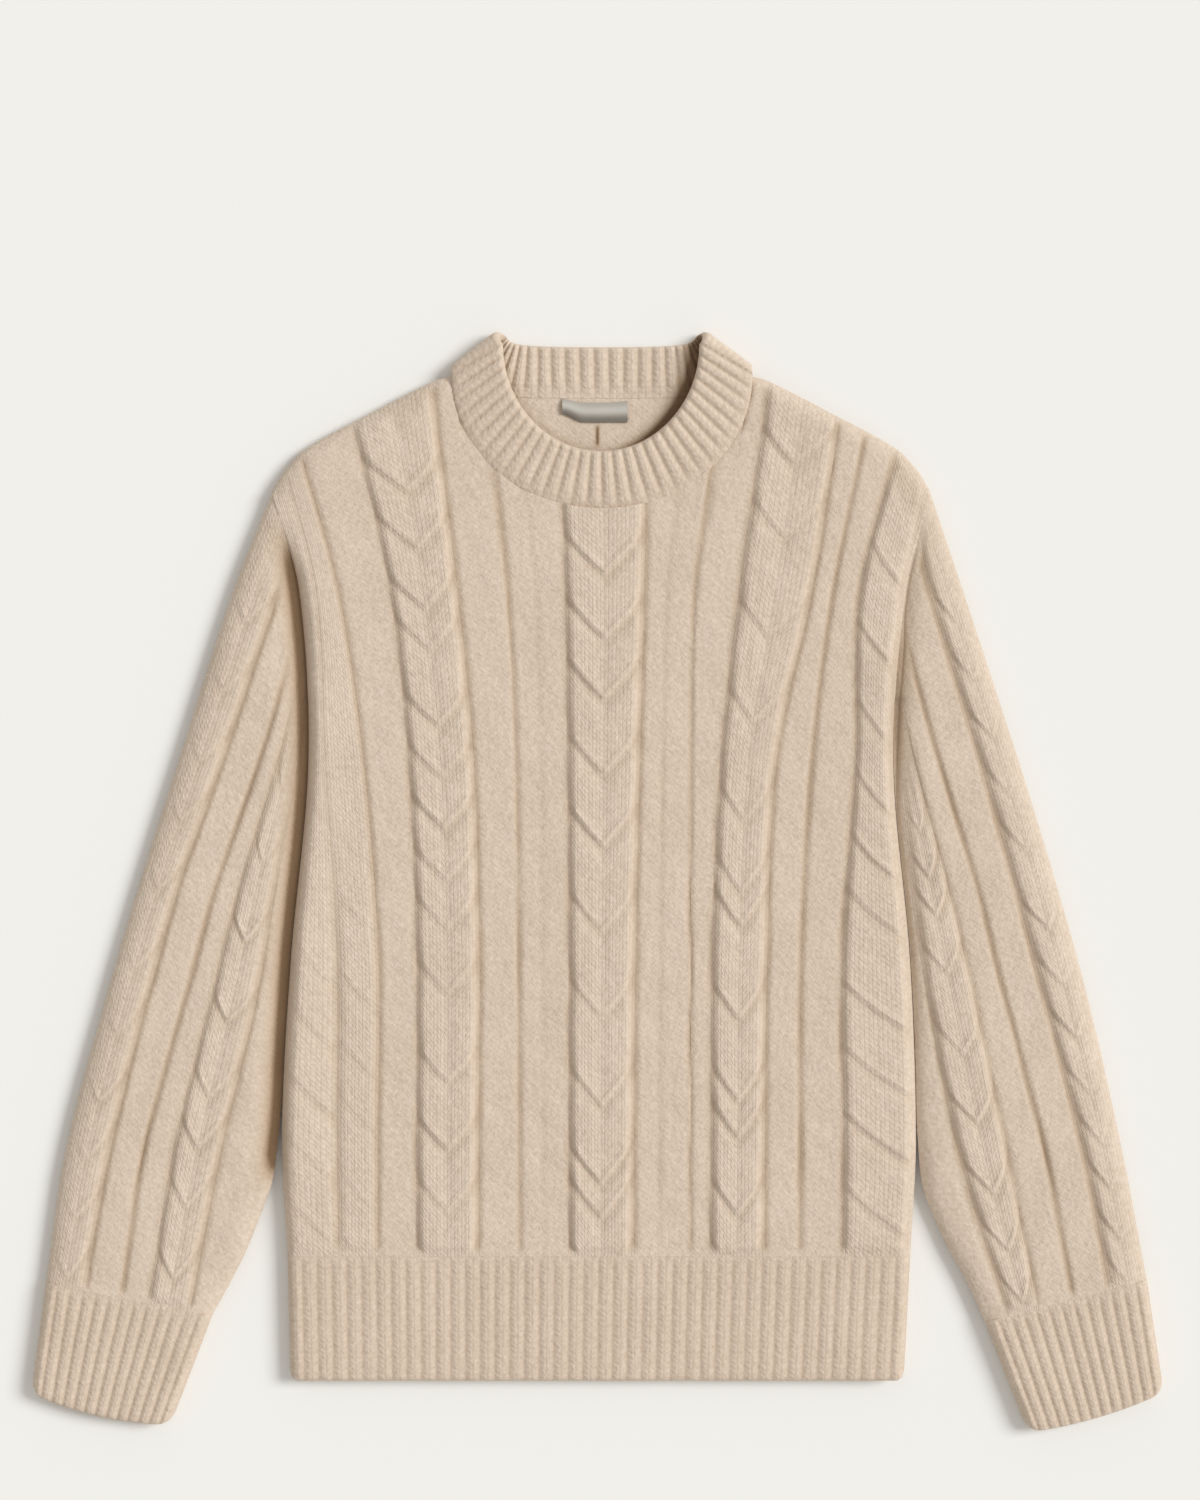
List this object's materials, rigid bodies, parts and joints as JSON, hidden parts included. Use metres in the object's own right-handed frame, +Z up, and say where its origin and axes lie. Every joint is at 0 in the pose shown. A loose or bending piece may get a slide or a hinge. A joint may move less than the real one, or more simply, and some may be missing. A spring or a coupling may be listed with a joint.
{
  "type": "cable knit sweater",
  "caption": "Chunky cable knit crew neck sweater lying flat on its back, front up, long sleeves beside the body, with ribbed neckband, cuffs and hem.",
  "frame": {"origin": "on the ground under the middle of the whole garment, sleeves included", "axes": "+Z up out of the surface it lies on, +Y towards the neck, +X to the right of someone looking down at its front"},
  "size_m": [0.771, 0.7472, 0.019],
  "materials": {
    "wool": "heathered oatmeal wool, cable knit, soft and matte",
    "wool_rib": "heathered oatmeal wool, ribbed, soft and matte",
    "label": "grey woven satin, blank"
  },
  "bodies": {
    "root": {"front_panel": "wool", "back_panel": "wool", "sleeve_left": "wool", "sleeve_right": "wool", "hem_front": "wool_rib", "hem_back": "wool_rib", "cuff_left": "wool_rib", "cuff_right": "wool_rib", "neckband": "wool_rib", "neck_label": "label"}
  },
  "joints": []
}
